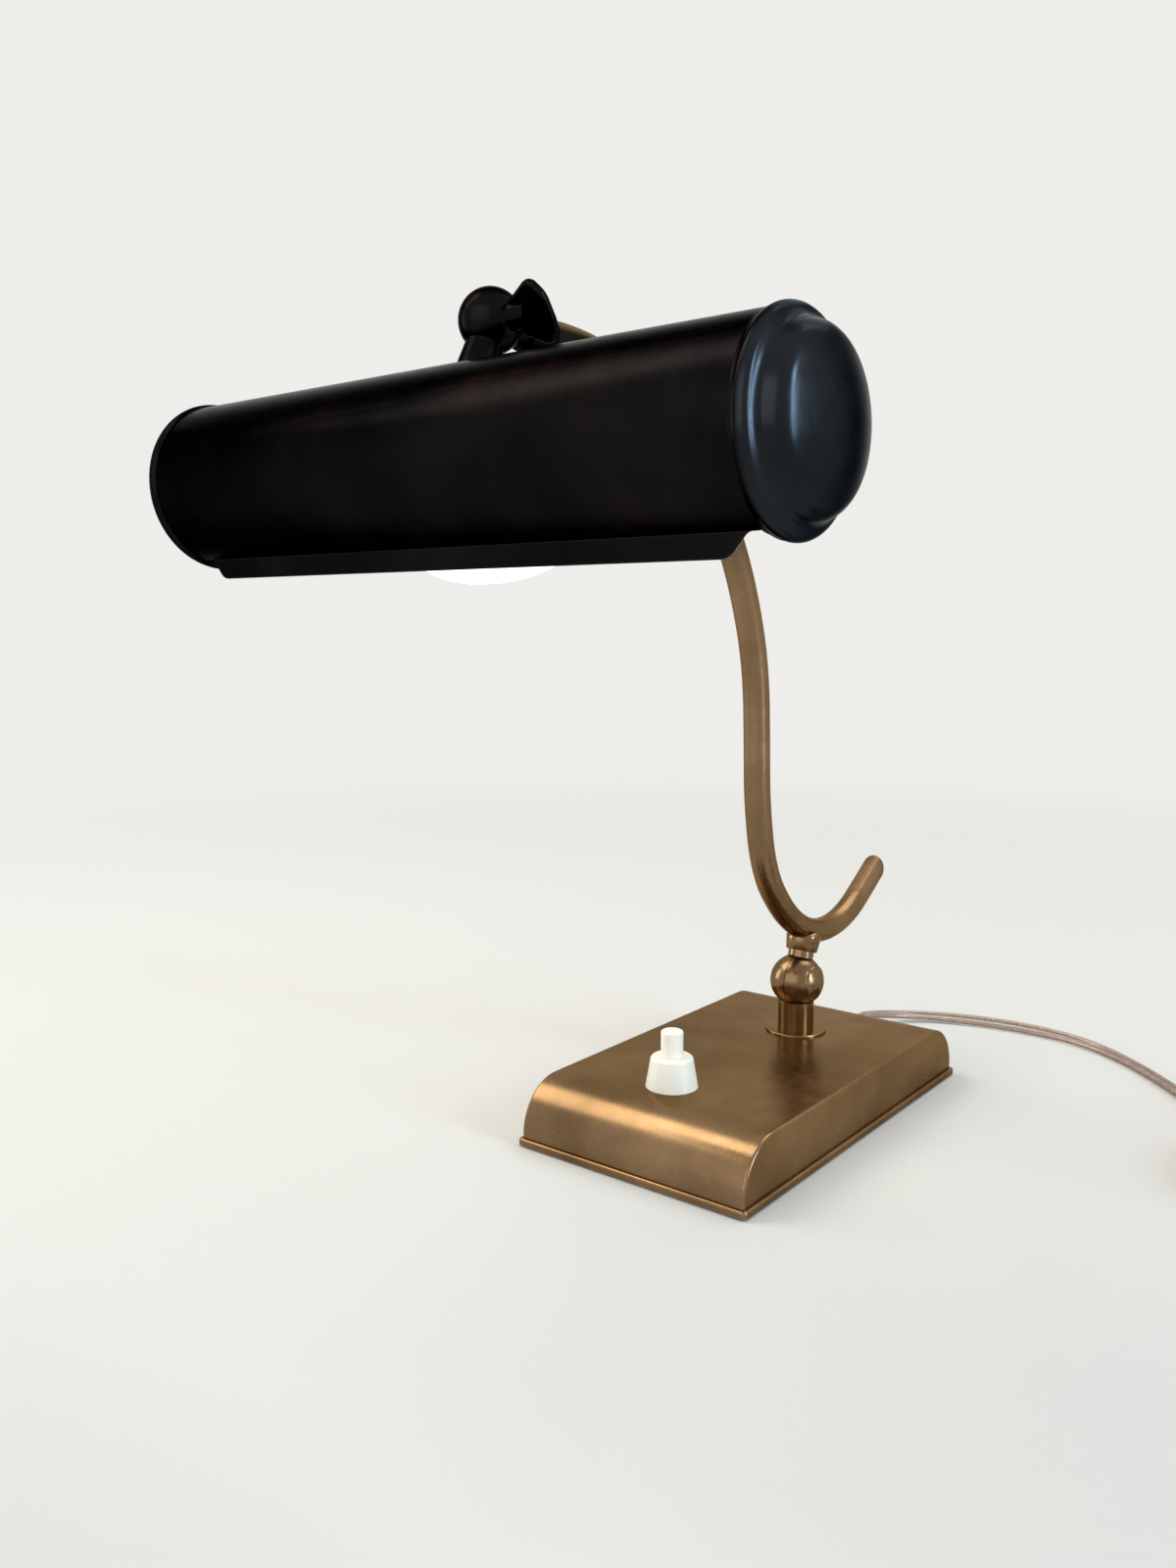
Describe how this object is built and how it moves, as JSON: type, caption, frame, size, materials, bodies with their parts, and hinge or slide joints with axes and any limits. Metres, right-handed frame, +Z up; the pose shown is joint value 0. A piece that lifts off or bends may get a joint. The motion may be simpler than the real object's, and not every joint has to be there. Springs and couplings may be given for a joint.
{
  "type": "desk lamp",
  "caption": "Brass desk lamp: tubular shade with domed ends on a swan-neck arm, ball knuckles, wing nut, and a weighted base with a push switch and mains flex.",
  "frame": {"origin": "centre of the base's underside, on the table", "axes": "+X along the shade to its right end, +Y from the shade to the back of the base where the flex leaves, +Z up"},
  "size_m": [0.4058, 0.3897, 0.3152],
  "materials": {
    "bronze": "satin aged brass, warm brown",
    "dark_bronze": "near-black oxidised satin brass",
    "bright_brass": "plain turned brass",
    "steel": "zinc-plated steel",
    "spring_steel": "bright spring wire",
    "iron": "raw cast iron",
    "felt": "dark green felt",
    "ivory": "glossy off-white moulding",
    "phenolic": "dark brown moulded phenolic",
    "bulb_glass": "frosted, lit from inside",
    "flex": "clear insulation over copper strands",
    "wire": "thin insulated lead",
    "fibre": "red friction fibre"
  },
  "bodies": {
    "base": {"base_cover": "bronze", "base_ballast": "iron", "base_plate": "steel", "base_felt": "felt", "base_plate_screws": "steel", "terminal_block": "phenolic", "base_leads": "wire", "inner_lead": "flex", "cord_clamp": "steel", "cord_clamp_screws": "steel", "cord_bush": "phenolic", "switch_body": "phenolic", "switch_tabs": "steel", "switch_collar": "ivory", "switch_spring": "spring_steel", "cord_run": "flex", "cord_coil": "flex", "cord_tail": "flex", "cord_tie": "flex", "plug_sleeve": "ivory", "plug_body": "ivory", "plug_pins": "steel", "stem_washer": "bronze"},
    "button": {"switch_button": "ivory"},
    "stem": {"stem_knuckle": "bronze", "stem_nipple": "bright_brass", "stem_spring_washer": "steel", "stem_nut": "bright_brass", "lower_friction_washer": "fibre"},
    "arm": {"arm_knuckle": "bronze", "lower_knuckle_screw": "bronze", "arm_foot": "bronze", "arm": "bronze", "arm_wire": "wire", "head_ferrule": "dark_bronze", "head_knuckle": "dark_bronze"},
    "wing_nut": {"wing_nut": "dark_bronze"},
    "shade": {"upper_friction_washer": "fibre", "upper_knuckle_screw": "dark_bronze", "shade_knuckle": "dark_bronze", "shade_tube": "dark_bronze", "left_end_cap": "dark_bronze", "right_end_cap": "dark_bronze", "neck_nipple": "bright_brass", "neck_saddle": "steel", "neck_nut": "bright_brass", "holder_bracket": "steel", "holder_nipple": "bright_brass", "holder_nut": "bright_brass", "lamp_holder": "bright_brass", "holder_insert": "phenolic", "bulb_cap": "bright_brass", "bulb_glass": "bulb_glass", "shade_lead": "wire"}
  },
  "joints": [
    {"name": "stem_swivel", "type": "hinge", "parent": "base", "child": "stem", "pos_m": [0, 0.0383, 0.027], "axis": [0, 0, 1], "range_deg": [-90, 90]},
    {"name": "arm_tilt", "type": "hinge", "parent": "stem", "child": "arm", "pos_m": [0, 0.0383, 0.0493], "axis": [1, 0, 0], "range_deg": [-35, 35]},
    {"name": "shade_tilt", "type": "hinge", "parent": "arm", "child": "shade", "pos_m": [0, -0.1653, 0.3044], "axis": [1, 0, 0], "range_deg": [-60, 30]},
    {"name": "wing_nut_turn", "type": "hinge", "parent": "arm", "child": "wing_nut", "pos_m": [0, -0.1653, 0.3044], "axis": [1, 0, 0], "range_deg": [0, 360]},
    {"name": "switch_press", "type": "slide", "parent": "base", "child": "button", "axis": [0, 0, -1], "range_m": [0, 0.0035], "stiffness_N_per_m": 800, "springref_m": -0.002, "deforming": ["switch_spring"]}
  ]
}
